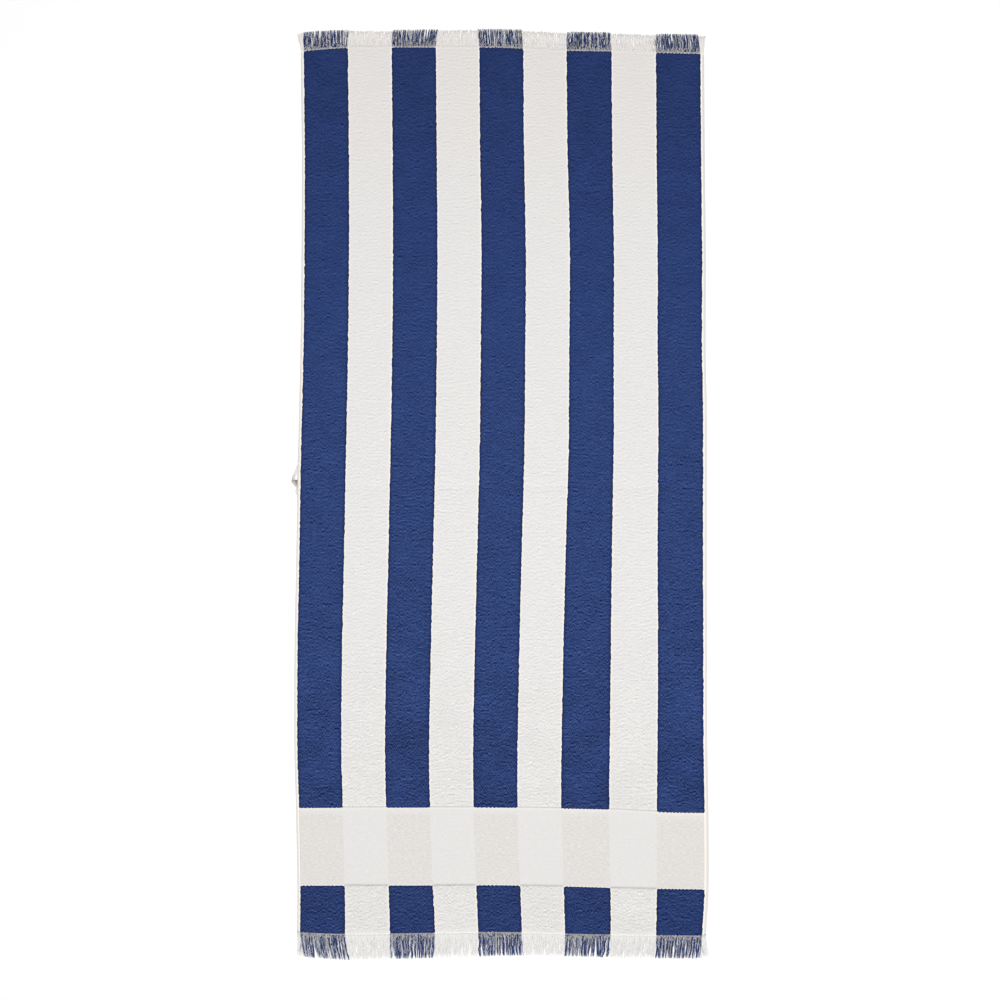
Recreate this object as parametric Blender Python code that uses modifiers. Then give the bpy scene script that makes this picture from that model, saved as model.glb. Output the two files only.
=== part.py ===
"""A striped beach towel lying flat: one terry cloth, two fringes and a hanging loop.

Metres, +Z up. The towel lies on z = 0 with its length along Y and its width along X, and
the origin is on its underside, on the middle line at half length. Places across the cloth
are counted in stripes, from 0 at the left edge of the first stripe to 9 at the right edge
of the last, because the stripes follow the cloth however it lies.
"""

import math
import random
from collections import namedtuple

import bmesh
import bpy

# Thickness
PILE = 0.003            # terry, loops included
FLAT_WEAVE = 0.0013     # border and selvedges, which have no pile
RELIEF = 0.0003         # most that the terry's face swells above PILE
GAP = 0.0003            # between pieces that would touch

# Across the width
STRIPES = 9
STRIPE = 0.0815
SELVEDGE = 0.0063
PILE_STEP = 0.0025      # width of the slope where the pile ends
CELLS_PER_STRIPE = 3

# Along the length
ROW = 0.024             # usual spacing of the rows of faces
FINE_ROW = 0.0085       # spacing beside the loop
FINE_REACH = 0.030      # how far the fine rows go on past the loop's ends

# Fringe
LOCKS = 122             # locks at each end
ROOT_SHARE = 0.72       # share of the spacing that a lock's root fills
TIP_SHARE = 0.42
TIP_SWAY = 0.0006       # how far a tip strays to either side
TIP_UNEVEN = 0.0022     # most that a lock is shorter than the fringe there
LOCK_STEPS = 3
LOCK_HEIGHT = 0.0018
TIP_HEIGHT = 0.0012
TOP_STRIP = 0.004       # depth of the strip that the roots are fused into
BOTTOM_STRIP = 0.008

# Hanging loop
TAPE_WIDTH = 0.0055
TAPE_THICKNESS = 0.0009
LOOP_TOP = 0.056
LOOP_BOTTOM = 0.004
LOOP_LIFT = 0.0013      # how far the cloth's edge is raised over the sewn ends
LIFT_WIDTH = 0.34       # in stripes: how far in it is fully raised
LIFT_FADE = 0.32        # in stripes: where it comes down to the floor again
LIFT_MARGIN = 0.005     # how far past the loop's ends it is fully raised
LIFT_SLOPE = 0.017

NAVY = (0.024, 0.045, 0.160, 1.0)
WHITE = (0.800, 0.785, 0.765, 1.0)
CREAM = (0.770, 0.740, 0.700, 1.0)
TAPE = (0.700, 0.680, 0.640, 1.0)
BLEND = (0.300, 0.310, 0.380, 1.0)

# How the stripes wander down the length: x at the edges of stripes 1, 4, 7 and after 9.
Course = namedtuple("Course", "y first fourth seventh last")
COURSES = (
    Course(+0.860, -0.3628, -0.1212, 0.1188, 0.3630),
    Course(+0.804, -0.3628, -0.1212, 0.1188, 0.3633),
    Course(+0.630, -0.3613, -0.1198, 0.1205, 0.3650),
    Course(+0.447, -0.3618, -0.1183, 0.1245, 0.3670),
    Course(+0.263, -0.3635, -0.1196, 0.1232, 0.3664),
    Course(+0.080, -0.3677, -0.1221, 0.1227, 0.3685),
    Course(-0.104, -0.3710, -0.1265, 0.1174, 0.3685),
    Course(-0.287, -0.3751, -0.1306, 0.1126, 0.3690),
    Course(-0.470, -0.3754, -0.1339, 0.1093, 0.3694),
    Course(-0.562, -0.3727, -0.1322, 0.1088, 0.3707),
    Course(-0.731, -0.3694, -0.1264, 0.1133, 0.3710),
    Course(-0.801, -0.3703, -0.1231, 0.1154, 0.3681),
    Course(-0.860, -0.3703, -0.1231, 0.1154, 0.3681),
)

# The four weft lines that bound the woven zones, and how far each sags below its level.
TOP = 0.8177
BORDER_TOP = -0.5751
BORDER_BOTTOM = -0.7191
BOTTOM = -0.8046
Sag = namedtuple("Sag", "stripe top border_top border_bottom bottom")
SAGS = (
    Sag(-0.1, 0.0073, 0.0009, 0.0006, 0.0000),
    Sag(1.0, 0.0009, 0.0004, 0.0005, 0.0000),
    Sag(3.0, 0.0000, 0.0000, 0.0003, 0.0000),
    Sag(4.5, 0.0005, 0.0000, 0.0000, 0.0002),
    Sag(6.0, 0.0059, 0.0017, 0.0020, 0.0024),
    Sag(7.2, 0.0074, 0.0042, 0.0052, 0.0035),
    Sag(9.1, 0.0118, 0.0100, 0.0079, 0.0050),
)

# How far the fringe's tips lean to the right of their roots, and the fringe's length.
Comb = namedtuple("Comb", "stripe top_lean top_length bottom_lean bottom_length")
COMBS = (
    Comb(-0.1, -0.0095, 0.0320, -0.0050, 0.0430),
    Comb(0.0, -0.0025, 0.0320, 0.0062, 0.0440),
    Comb(1.0, 0.0000, 0.0315, 0.0070, 0.0470),
    Comb(2.0, 0.0020, 0.0315, 0.0022, 0.0460),
    Comb(3.0, 0.0035, 0.0330, 0.0000, 0.0450),
    Comb(4.0, -0.0020, 0.0335, 0.0000, 0.0440),
    Comb(5.0, -0.0025, 0.0345, 0.0010, 0.0415),
    Comb(6.0, 0.0000, 0.0340, -0.0005, 0.0405),
    Comb(7.0, -0.0007, 0.0340, -0.0037, 0.0410),
    Comb(8.0, -0.0013, 0.0335, -0.0018, 0.0415),
    Comb(9.0, -0.0032, 0.0340, -0.0035, 0.0410),
    Comb(9.1, 0.0045, 0.0330, 0.0072, 0.0390),
)

# Creases that folding left: centre, direction in degrees from +X, size and depth.
Crease = namedtuple("Crease", "x y turn length width depth")
CREASES = (
    Crease(0.000, 0.012, 0, 0.900, 0.020, 0.0006),
    Crease(-0.335, -0.406, 4, 0.090, 0.022, 0.0007),
    Crease(0.335, -0.406, -3, 0.090, 0.022, 0.0007),
    Crease(-0.330, -0.545, 38, 0.080, 0.024, 0.0007),
    Crease(0.352, -0.512, 90, 0.130, 0.022, 0.0007),
)

# Slow waves of the terry's face, by their radians per metre and share of the relief.
Wave = namedtuple("Wave", "per_x per_y start share")
WAVES = (
    Wave(14.0, -2.2, 2.3, 0.30),
    Wave(4.0, 10.4, 0.9, 0.30),
    Wave(20.0, 23.0, 0.3, 0.20),
    Wave(42.0, -23.0, 1.9, 0.20),
)

# The loop's middle line: how far out from the cloth's edge, y, height of the middle of
# the tape and how far the tape is turned up from lying flat, in degrees.
Bend = namedtuple("Bend", "out y height turned")
LOOP = (
    Bend(-0.0090, 0.0560, 0.00050, 0),
    Bend(-0.0020, 0.0530, 0.00050, 0),
    Bend(0.0030, 0.0470, 0.00050, 0),
    Bend(0.0070, 0.0385, 0.00090, 14),
    Bend(0.0102, 0.0290, 0.00240, 52),
    Bend(0.0102, 0.0220, 0.00280, 64),
    Bend(0.0072, 0.0140, 0.00150, 30),
    Bend(0.0030, 0.0085, 0.00050, 0),
    Bend(-0.0020, 0.0055, 0.00050, 0),
    Bend(-0.0090, 0.0035, 0.00050, 0),
)


def eased(rows, at, column):
    """The column's value at the first column's `at`, on a smooth curve through the rows."""
    rows = sorted(rows)
    last = len(rows) - 2
    i = max(0, min(last, sum(row[0] <= at for row in rows) - 1))
    around = [rows[max(0, min(last + 1, i + step))] for step in (-1, 0, 1, 2)]
    keys = [row[0] for row in around]
    before, here, there, after = (getattr(row, column) for row in around)
    span = keys[2] - keys[1]
    leave = (there - before) / (keys[2] - keys[0]) * span
    arrive = (after - here) / (keys[3] - keys[1]) * span
    t = (at - keys[1]) / span
    bend = here + t * leave + t * t * (3 * (there - here) - 2 * leave - arrive)
    return bend + t ** 3 * (2 * (here - there) + leave + arrive)


def across(stripe, y):
    """x of a place counted in stripes, on the line at y."""
    knots = ((0, "first"), (3, "fourth"), (6, "seventh"), (9, "last"))
    left = max(0, min(2, int(stripe // 3)))
    (low, low_name), (high, high_name) = knots[left:left + 2]
    start, end = eased(COURSES, y, low_name), eased(COURSES, y, high_name)
    return start + (end - start) * (stripe - low) / (high - low)


def settled(stripe, level):
    """y of a place whose weft line would be at `level` if the cloth lay square."""
    lines = (
        (BOTTOM, "bottom"),
        (BORDER_BOTTOM, "border_bottom"),
        (BORDER_TOP, "border_top"),
        (TOP, "top"),
    )
    i = max(0, min(2, sum(level >= line[0] for line in lines) - 1))
    (low, low_name), (high, high_name) = lines[i:i + 2]
    share = (level - low) / (high - low)
    sag = (1 - share) * eased(SAGS, stripe, low_name) + share * eased(SAGS, stripe, high_name)
    return level - sag


def ramp(value, start, end):
    """0 before start, 1 after end, smooth in between."""
    t = max(0.0, min(1.0, (value - start) / (end - start)))
    return t * t * (3 - 2 * t)


def creased(x, y):
    """Depth of the creases at a place."""
    depth = 0.0
    for crease in CREASES:
        turn = math.radians(crease.turn)
        dx, dy = x - crease.x, y - crease.y
        along = (dx * math.cos(turn) + dy * math.sin(turn)) / (crease.length / 2)
        beside = (dy * math.cos(turn) - dx * math.sin(turn)) / (crease.width / 2)
        depth += crease.depth * math.exp(-along ** 4 - beside ** 2)
    return depth


def swell(x, y):
    """Slow unevenness of the terry's face, between -1 and 1."""
    return sum(
        wave.share * math.sin(wave.per_x * x + wave.per_y * y + wave.start)
        for wave in WAVES
    )


def is_navy(stripe):
    """Whether a place across the width is in a navy stripe."""
    return 0 < stripe < STRIPES and int(stripe) % 2 == 0


def has_pile(stripe, level):
    """Whether a place on the cloth is terry: not the border, and not a selvedge."""
    edge = PILE_STEP / STRIPE / 2
    inside = edge < stripe < STRIPES - edge
    step = PILE_STEP / 2
    return inside and not BORDER_BOTTOM + step < level < BORDER_TOP - step


def height(stripe, level, x, y):
    """Thickness of the cloth at a place."""
    if not has_pile(stripe, level):
        return FLAT_WEAVE
    return PILE + RELIEF * swell(x, y) - creased(x, y)


def lift(stripe, y):
    """How far the cloth is off the floor where the loop's ends are sewn under it."""
    low, high = LOOP_BOTTOM - LIFT_MARGIN, LOOP_TOP + LIFT_MARGIN
    beside_loop = ramp(y, low - LIFT_SLOPE, low) * (1 - ramp(y, high, high + LIFT_SLOPE))
    near_edge = 1 - ramp(stripe, LIFT_WIDTH, LIFT_WIDTH + LIFT_FADE)
    return LOOP_LIFT * near_edge * beside_loop


def spread(start, end, spacing):
    """Evenly spaced stops from start to end, both included."""
    count = max(1, round(abs(end - start) / spacing))
    return [start + (end - start) * i / count for i in range(count + 1)]


def column_stops():
    """Where the body's columns of faces meet, in stripes."""
    selvedge, step = SELVEDGE / STRIPE, PILE_STEP / STRIPE
    inner = [i / CELLS_PER_STRIPE for i in range(1, STRIPES * CELLS_PER_STRIPE)]
    return [-selvedge, 0.0, step, *inner, STRIPES - step, STRIPES, STRIPES + selvedge]


def row_stops():
    """The levels where the body's rows of faces meet."""
    fine_low, fine_high = LOOP_BOTTOM - FINE_REACH, LOOP_TOP + FINE_REACH
    stops = spread(BOTTOM, BORDER_BOTTOM, ROW)
    stops += spread(BORDER_BOTTOM + PILE_STEP, BORDER_TOP - PILE_STEP, ROW)
    stops += spread(BORDER_TOP, fine_low, ROW)[:-1]
    stops += spread(fine_low, fine_high, FINE_ROW)
    return stops + spread(fine_high, TOP, ROW)[1:]


def material(name, colour, roughness):
    made = bpy.data.materials.new(name)
    made.use_nodes = True
    shader = made.node_tree.nodes["Principled BSDF"]
    shader.inputs["Base Color"].default_value = colour
    shader.inputs["Roughness"].default_value = roughness
    shader.inputs["Metallic"].default_value = 0.0
    return made


def finish_object(name, data, collection, materials):
    """An object of this name in the collection, with its materials."""
    made = bpy.data.objects.new(name, data)
    collection.objects.link(made)
    for each in materials:
        data.materials.append(each)
    return made


def thicken(obj, thickness, shares):
    """Makes a flat sheet solid upwards, each point by its share of the thickness."""
    group = obj.vertex_groups.new(name="thickness")
    for index, share in enumerate(shares):
        group.add([index], share, "REPLACE")
    solid = obj.modifiers.new("thickness", "SOLIDIFY")
    solid.thickness = thickness
    solid.offset = 1.0
    solid.vertex_group = group.name
    solid.thickness_vertex_group = 0.0


def make_body(collection):
    """The cloth: a grid laid out along its weft lines and stripes, then made solid."""
    columns, rows = column_stops(), row_stops()
    bm = bmesh.new()
    size = 0.5
    bmesh.ops.create_grid(
        bm, x_segments=len(columns) - 1, y_segments=len(rows) - 1, size=size
    )
    bm.verts.index_update()
    places = []
    for vert in bm.verts:
        stripe = columns[round((vert.co.x + size) * (len(columns) - 1))]
        level = rows[round((vert.co.y + size) * (len(rows) - 1))]
        places.append((stripe, level))
    shares = []
    for vert, (stripe, level) in zip(bm.verts, places):
        y = settled(stripe, level)
        x = across(stripe, y)
        vert.co = (x, y, lift(stripe, y))
        shares.append(height(stripe, level, x, y) / (PILE + RELIEF))
    for face in bm.faces:
        corners = [places[vert.index] for vert in face.verts]
        stripe = sum(place[0] for place in corners) / len(corners)
        level = sum(place[1] for place in corners) / len(corners)
        border = BORDER_BOTTOM < level < BORDER_TOP
        face.material_index = (2 if border else 0) if is_navy(stripe) else 1
    mesh = bpy.data.meshes.new("towel_body")
    bm.to_mesh(mesh)
    bm.free()
    materials = (
        material("terry_navy", NAVY, 0.95),
        material("terry_white", WHITE, 0.95),
        material("border_cream", CREAM, 0.9),
    )
    body = finish_object("towel_body", mesh, collection, materials)
    thicken(body, PILE + RELIEF, shares)
    return body


def comb_sheet():
    """A flat comb, its points at (share of the width, step). The strip, from step 0 to 1,
    has a cell for each gap and each root, and each root's outer edge is drawn out."""
    cells = 2 * LOCKS + 1
    size = 0.5
    bm = bmesh.new()
    bmesh.ops.create_grid(bm, x_segments=cells, y_segments=1, size=size)
    for vert in bm.verts:
        column = round((vert.co.x + size) * cells)
        lock, side = divmod(column - 1, 2)
        share = (lock + 0.5 + (side - 0.5) * ROOT_SHARE) / LOCKS
        vert.co.x = 0.0 if column == 0 else 1.0 if column == cells else share
        vert.co.y = round(vert.co.y + size)
    front = []
    for edge in bm.edges:
        middle = sum(vert.co.x for vert in edge.verts) / 2 * LOCKS % 1
        outer = all(vert.co.y > 0.5 for vert in edge.verts)
        if outer and abs(middle - 0.5) < 0.01:
            front.append(edge)
    for step in range(LOCK_STEPS):
        grown = bmesh.ops.extrude_edge_only(bm, edges=front)["geom"]
        tips = {each for each in grown if isinstance(each, bmesh.types.BMVert)}
        for vert in tips:
            vert.co.y = step + 2
        edges = [each for each in grown if isinstance(each, bmesh.types.BMEdge)]
        front = [edge for edge in edges if tips.issuperset(edge.verts)]
    return bm


def make_fringe(name, end, strip, collection, seed):
    """One fringe, at the cloth's `end`, "top" or "bottom": a strip with its locks."""
    outward = 1 if end == "top" else -1
    level = TOP if end == "top" else BOTTOM
    rng = random.Random(seed)
    odd = [(rng.uniform(-1, 1), rng.uniform(0, 1)) for _ in range(LOCKS)]

    def stripe_at(share):
        return share * (STRIPES + 2 * SELVEDGE / STRIPE) - SELVEDGE / STRIPE

    def place(share, step):
        lock = min(LOCKS - 1, int(share * LOCKS))
        middle = (lock + 0.5) / LOCKS
        along = max(0, step - 1) / LOCK_STEPS
        if step > 1:
            share = middle + (share - middle) * (1 + (TIP_SHARE / ROOT_SHARE - 1) * along)
        centre = stripe_at(middle)
        lean = eased(COMBS, centre, end + "_lean") + TIP_SWAY * odd[lock][0]
        reach = eased(COMBS, centre, end + "_length") - TIP_UNEVEN * odd[lock][1]
        out = GAP if step == 0 else strip + (reach - strip) * along
        y = settled(stripe_at(share), level) + outward * out
        return (across(stripe_at(share), y) + lean * along ** 1.5, y, 0.0)

    bm = comb_sheet()
    for face in bm.faces:
        stripe = stripe_at(sum(vert.co.x for vert in face.verts) / len(face.verts))
        face.material_index = 0 if is_navy(stripe) else 1
    bm.verts.index_update()
    steps = [round(vert.co.y) for vert in bm.verts]
    for vert, step in zip(bm.verts, steps):
        vert.co = place(vert.co.x, step)
    if end == "bottom":
        bmesh.ops.reverse_faces(bm, faces=bm.faces)
    mesh = bpy.data.meshes.new(name)
    bm.to_mesh(mesh)
    bm.free()
    materials = (
        material(name + "_blend", BLEND, 0.95),
        material(name + "_white", WHITE, 0.95),
    )
    fringe = finish_object(name, mesh, collection, materials)
    taper = (1 - TIP_HEIGHT / LOCK_HEIGHT) / LOCK_STEPS
    thicken(fringe, LOCK_HEIGHT, [1 - taper * max(0, step - 1) for step in steps])
    return fringe


def make_loop(collection):
    """The tape: a curve along the loop's middle line, as wide as the tape and turned up
    where it bends back."""
    curve = bpy.data.curves.new("hanging_loop", "CURVE")
    curve.dimensions = "3D"
    curve.twist_mode = "Z_UP"
    curve.extrude = TAPE_WIDTH / 2 - TAPE_THICKNESS / 2
    curve.bevel_depth = TAPE_THICKNESS / 2
    curve.bevel_resolution = 0
    curve.use_fill_caps = True
    curve.resolution_u = 3
    spline = curve.splines.new("NURBS")
    spline.points.add(len(LOOP) - 1)
    spline.order_u = 3
    spline.use_endpoint_u = True
    for point, bend in zip(spline.points, LOOP):
        edge = across(-SELVEDGE / STRIPE, bend.y)
        point.co = (edge - bend.out, bend.y, bend.height, 1.0)
        point.tilt = math.radians(90 - bend.turned)
    return finish_object("hanging_loop", curve, collection, [material("tape", TAPE, 0.9)])


def main():
    for old in list(bpy.data.objects):
        bpy.data.objects.remove(old)
    collection = bpy.data.collections.new("beach_towel")
    bpy.context.scene.collection.children.link(collection)
    make_body(collection)
    make_fringe("fringe_top", "top", TOP_STRIP, collection, seed=3)
    make_fringe("fringe_bottom", "bottom", BOTTOM_STRIP, collection, seed=8)
    make_loop(collection)


main()
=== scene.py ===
"""Looks of a striped beach towel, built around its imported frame.

Metres, +Z up, in the frame of the CAD: the towel lies on z = 0 with its length along Y.
Places across the cloth are counted in stripes, from 0 at the left edge of the first
stripe to 9 at the right edge of the last, and places along it by levels, the y that a
weft line would have if the cloth lay square. The tables that lay the cloth out follow
those of the CAD to within 2 or 3 mm, so every piece lies where its solid does.

Pieces: a base cloth with the selvedges, the border's weave over it, the terry of each
stripe, the fringes' yarns, and the hanging tape with its lower end.
"""

import math
from collections import namedtuple
from types import SimpleNamespace

import bmesh
import bpy
import numpy as np
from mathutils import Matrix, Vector


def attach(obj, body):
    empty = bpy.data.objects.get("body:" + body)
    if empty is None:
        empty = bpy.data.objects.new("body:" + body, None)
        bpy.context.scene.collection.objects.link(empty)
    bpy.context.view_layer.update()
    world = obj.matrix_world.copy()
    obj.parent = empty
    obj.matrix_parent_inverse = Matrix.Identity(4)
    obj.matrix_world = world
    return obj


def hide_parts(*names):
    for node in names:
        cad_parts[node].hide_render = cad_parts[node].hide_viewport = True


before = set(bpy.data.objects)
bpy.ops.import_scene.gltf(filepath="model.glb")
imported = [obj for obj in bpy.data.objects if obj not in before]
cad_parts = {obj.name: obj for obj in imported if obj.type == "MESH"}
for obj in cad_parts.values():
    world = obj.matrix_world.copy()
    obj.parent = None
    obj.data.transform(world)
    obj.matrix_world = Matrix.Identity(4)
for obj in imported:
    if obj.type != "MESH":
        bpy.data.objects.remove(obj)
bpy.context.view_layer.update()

TURN = 2 * math.pi


def table(fields, *rows):
    """A list of rows whose values have these names."""
    row_kind = namedtuple("Row", fields)
    return [row_kind(*row) for row in rows]


# Across the width
STRIPES = 9
STRIPE = 0.0815
SELVEDGE = 0.0063       # the CAD's, from whose outer edge the tape is placed
OUTER_EDGE = -SELVEDGE / STRIPE     # in stripes
LEFT_SELVEDGE = 0.0055  # the left one is woven a little narrower than the right one
RIGHT_SELVEDGE = 0.0074
LEFT_END = -LEFT_SELVEDGE / STRIPE  # in stripes
RIGHT_END = STRIPES + RIGHT_SELVEDGE / STRIPE

# Thickness
PILE = 0.003            # terry, loops included
FLAT_WEAVE = 0.0013
RELIEF = 0.0003         # slow unevenness of the terry's face

# Terry
ROW_STEP = 0.00163      # spacing of the points along the length
COLUMN_STEP = 0.00205
EDGE_STEPS = (0.0, 0.0007, 0.0019)      # offsets of the points next to an edge
EDGE_ROUND = 0.0024     # how far in the pile rounds off
EDGE_DROP = 0.0012
SEAM = 0.0001           # half the gap between neighbouring stripes
PILE_FOOT = 0.0011      # height that the pile pieces reach down to, inside the base cloth
RIB_PITCH = 0.0068      # the loops stand in weft-wise ribs
LOOP_RELIEF = 0.00021   # spread of the loops' heights where they stand out most
TOOTH_PITCH = 0.008     # a stripe's edge is toothed by its last loops
SIDE_TEETH = 0.0003     # spread of the teeth along a stripe's sides
END_TEETH = 0.00034     # and along its ends
CORNER = 0.0008         # how far the corners of a block of terry draw in
LEAN = 0.0005           # how far navy pile leans over its neighbour on the right
OVERHANG = 0.0008       # and over the flat weave at its ends
WHITE_UP = 0.0018       # how much higher the white stripes' ends at the border are
WHITE_OVERHANG = 0.0016     # how far their upper ends reach past the cloth's

# Border
WEFT_STEP = 0.002
BORDER_EDGE_STEPS = (0.0, 0.0006, 0.0013, 0.002, 0.0028, 0.0037, 0.005)
WEAVE_RELIEF = 0.00005
LINE = 0.0013           # width of the lines along its ends

# Fringe
YARN = 0.00052          # radius
YARN_PITCH = 0.00062    # spacing of the yarns where they leave the cloth
YARN_ROOT = 0.0016      # length of yarn inside the cloth's edge
YARN_POINTS = 8
LAYERING = 0.0008       # depth over which the yarns lie on each other
LAYERS = ((0.55, 1.2), (0.0, 0.4), (0.0, 0.5))      # of navy, cream and white yarns in it
YARN_TWIST = 0.001      # length of one turn of a yarn's twist
HEADER_WAVE = 0.0024    # a header pick goes over and under in this length

# Hanging loop
TAPE_THICKNESS = 0.0008
LOOP_TOP = 0.056
LOOP_BOTTOM = 0.004
LOOP_LIFT = 0.0013      # how far the cloth's edge is raised over the sewn ends
LIFT_WIDTH = 0.34       # in stripes: how far in it is fully raised
LIFT_FADE = 0.32        # in stripes: where it comes down to the floor again
LIFT_MARGIN = 0.005
LIFT_SLOPE = 0.017

# The picture: the camera looks straight down on a square this wide.
PICTURE = 1.834
LENS = 85.0
SENSOR = 36.0
AIM = (-0.00334, -0.0119)
KEY_FROM = (0.16, -0.58, 0.8)
KEY_STRENGTH = 1.8
OVERHEAD_STRENGTH = 23.5
BACKDROP_STRENGTH = 0.36

# How the stripes wander down the length: x at the left edges of stripes 1, 4, 7 and 9 and
# at the right edge of the last.
KNOTS = (0, 3, 6, 8, 9)
COURSES = table(
    "y first fourth seventh ninth last",
    (0.86, -0.3632, -0.1211, 0.1188, 0.2823, 0.3635),
    (0.804, -0.3632, -0.1211, 0.1188, 0.2825, 0.3638),
    (0.63, -0.3613, -0.1198, 0.1203, 0.2837, 0.3649),
    (0.447, -0.3618, -0.1184, 0.1245, 0.2855, 0.3668),
    (0.263, -0.3638, -0.1197, 0.1236, 0.2857, 0.3666),
    (0.175, -0.3657, -0.1206, 0.1231, 0.2868, 0.3684),
    (0.08, -0.368, -0.1221, 0.1225, 0.2865, 0.3687),
    (-0.104, -0.3712, -0.1263, 0.1172, 0.2856, 0.3685),
    (-0.287, -0.3746, -0.1306, 0.1127, 0.2862, 0.3691),
    (-0.47, -0.375, -0.1338, 0.1095, 0.2852, 0.3694),
    (-0.562, -0.3724, -0.1324, 0.1088, 0.2843, 0.371),
    (-0.731, -0.3693, -0.1263, 0.1136, 0.2841, 0.3712),
    (-0.801, -0.3699, -0.1231, 0.1157, 0.2828, 0.3674),
    (-0.86, -0.3699, -0.1231, 0.1157, 0.2828, 0.3674),
)

# The four weft lines that bound the woven zones, and how far each sags below its level.
TOP = 0.8177
BORDER_TOP = -0.5751
BORDER_BOTTOM = -0.7191
BOTTOM = -0.8046
ENDS = {"top": (1, TOP), "bottom": (-1, BOTTOM)}     # which way is out, and the level
SAGS = table(
    "stripe top border_top border_bottom bottom",
    (-0.1, 0.0073, 0.0009, 0.0006, -0.001),
    (1.0, 0.0009, 0.0004, 0.0005, 0.0018),
    (3.0, 0.0, 0.0, 0.0003, 0.0),
    (4.5, 0.0005, 0.0, 0.0, -0.0016),
    (6.0, 0.0059, 0.0017, 0.002, 0.0014),
    (7.2, 0.0074, 0.0042, 0.0052, 0.0035),
    (8.2, 0.0099, 0.0088, 0.0067, 0.0044),
    (9.1, 0.0118, 0.01, 0.0079, 0.005),
)

# How far the fringe's tips lean to the right of their roots, and the fringe's length.
COMBS = table(
    "stripe top_lean top_length bottom_lean bottom_length",
    (-0.1, -0.015, 0.0325, -0.005, 0.043),
    (0.0, -0.0025, 0.0346, 0.0062, 0.044),
    (1.0, 0.0, 0.0327, 0.007, 0.047),
    (2.0, 0.002, 0.0315, 0.0022, 0.046),
    (3.0, 0.0035, 0.033, 0.0, 0.045),
    (4.0, -0.002, 0.0335, 0.0, 0.044),
    (5.0, -0.0025, 0.0345, 0.001, 0.0415),
    (6.0, 0.0, 0.0347, -0.0005, 0.0405),
    (7.0, -0.0007, 0.0347, -0.0037, 0.041),
    (8.0, -0.0013, 0.0345, -0.0018, 0.0415),
    (9.0, -0.0032, 0.035, -0.0035, 0.041),
    (9.1, 0.0045, 0.033, 0.0088, 0.039),
)

# Creases that folding left: centre, direction in degrees from +X, size and depth.
CREASES = table(
    "x y turn length width depth",
    (0.0, 0.012, 0, 0.9, 0.02, 0.0006),
    (-0.335, -0.406, 4, 0.09, 0.022, 0.001),
    (0.335, -0.406, -3, 0.09, 0.022, 0.001),
    (-0.33, -0.545, 38, 0.08, 0.024, 0.001),
    (0.352, -0.512, 90, 0.13, 0.022, 0.001),
)

# Slow waves of the terry's face, by their radians per metre and share of the relief.
WAVES = table(
    "per_x per_y start share",
    (14.0, -2.2, 2.3, 0.3),
    (4.0, 10.4, 0.9, 0.3),
    (20.0, 23.0, 0.3, 0.2),
    (42.0, -23.0, 1.9, 0.2),
)

# How each fringe gathers: the value for the top one and the value for the bottom one
GATHERS = {
    "bundles": (13, 15),            # in each stripe
    "start": (0.02, 0.12),          # they gather between these shares of the length
    "stop": (0.4, 0.5),
    "kept": (0.91, 0.8),            # share of its width that a navy bundle keeps
    "narrowing": (0.02, 0.14),      # how much that narrows at the tips
    "cream": (0.55, 0.66),          # share of cream yarns at a navy bundle's sides
    "over": (0.28, 0.28),           # where those dip under the navy ones
    "short": (0.0015, 0.002),       # how far their tips fall short, at most
    "lean": (0.0011, 0.0015),       # how much the bundles lean
    "snake": (0.0006, 0.0007),      # and snake
    "more": (0.0017, 0.0027),       # how much longer than the combs say the yarns are
    "more_white": (0.0002, 0.0038),
    "ragged_white": (0.0028, 0.0032),       # how ragged the white ones' tips are
}

# Single yarns that lie out of line: stripe, lean, length and kind, which is 0 for navy, 1
# for cream and 2 for white.
STRAYS = {
    "top": (
        (7.9, -0.007, 0.03, 2), (7.95, -0.0085, 0.025, 1), (7.99, -0.009, 0.0285, 2),
        (8.01, -0.01, 0.027, 1), (8.03, -0.008, 0.03, 1), (8.05, -0.007, 0.025, 0),
        (8.08, -0.0062, 0.03, 0),
    ),
    "bottom": (
        (0.03, -0.003, 0.042, 0), (8.97, 0.006, 0.04, 1), (9.03, 0.0075, 0.04, 2),
    ),
}

# The loop's tape, crosswise: for each of its edges how far out it is from the cloth's, its
# y and height, and how much of the tape's shaded side shows. A narrow doubled leg comes
# out above, opens flat at a slanting fold and goes back under the cloth below.
RUNGS = table(
    "out y height other_out other_y other_height shade",
    (-0.011, 0.0575, 0.0005, -0.011, 0.053, 0.0005, 0.0),
    (-0.005, 0.056, 0.0005, -0.007, 0.051, 0.0005, 0.0),
    (-0.0004, 0.0523, 0.0005, -0.0035, 0.0472, 0.0005, 0.0),
    (0.0044, 0.041, 0.0006, -0.0006, 0.0385, 0.0008, 0.0),
    (0.0084, 0.032, 0.0006, 0.0033, 0.029, 0.001, 0.16),
    (0.0098, 0.0268, 0.0005, 0.0037, 0.02, 0.0008, 0.45),
    (0.0101, 0.0218, 0.0008, 0.0014, 0.0118, 0.0008, 0.42),
    (0.0101, 0.0218, 0.0014, 0.0014, 0.0118, 0.0014, 0.42),
    (0.0085, 0.0233, 0.0015, 0.0, 0.0124, 0.0014, 0.45),
    (0.004, 0.0244, 0.0014, -0.003, 0.013, 0.0008, 0.8),
    (0.0, 0.025, 0.0009, -0.006, 0.0136, 0.0005, 1.0),
    (-0.006, 0.027, 0.0005, -0.0085, 0.015, 0.0005, 0.8),
    (-0.011, 0.0278, 0.0005, -0.012, 0.016, 0.0005, 0.2),
)
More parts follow.
